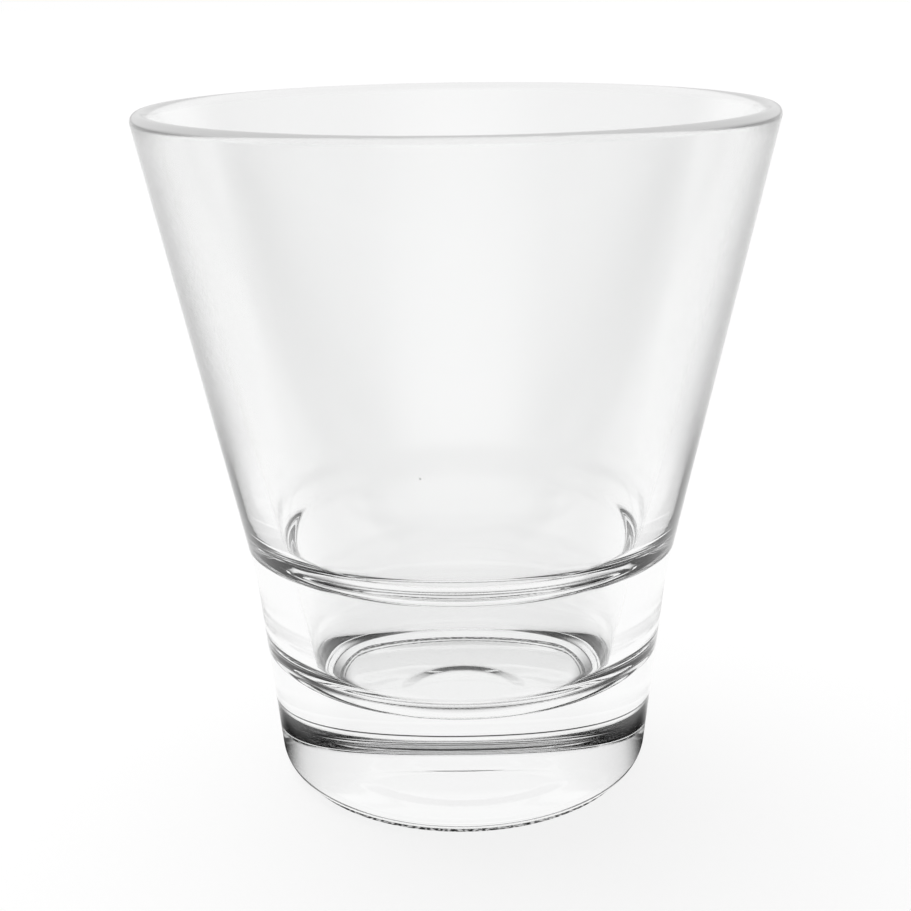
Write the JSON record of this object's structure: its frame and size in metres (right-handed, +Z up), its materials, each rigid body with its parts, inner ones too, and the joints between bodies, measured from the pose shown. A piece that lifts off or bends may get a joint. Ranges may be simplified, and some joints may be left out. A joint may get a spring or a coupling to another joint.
{
  "type": "rocks glass",
  "caption": "Clear pressed rocks glass: flared bowl above a narrower well with a rounded ledge between them, on a thick solid base, for holding a drink over ice.",
  "frame": {"origin": "centre of the foot ring, on the table", "axes": "+Z up along the glass's axis; X and Y are level and alike, because the glass is round"},
  "size_m": [0.095, 0.095, 0.1053],
  "materials": {
    "clear_glass": "clear, fire-polished"
  },
  "bodies": {
    "root": {"tumbler": "clear_glass"}
  },
  "joints": []
}
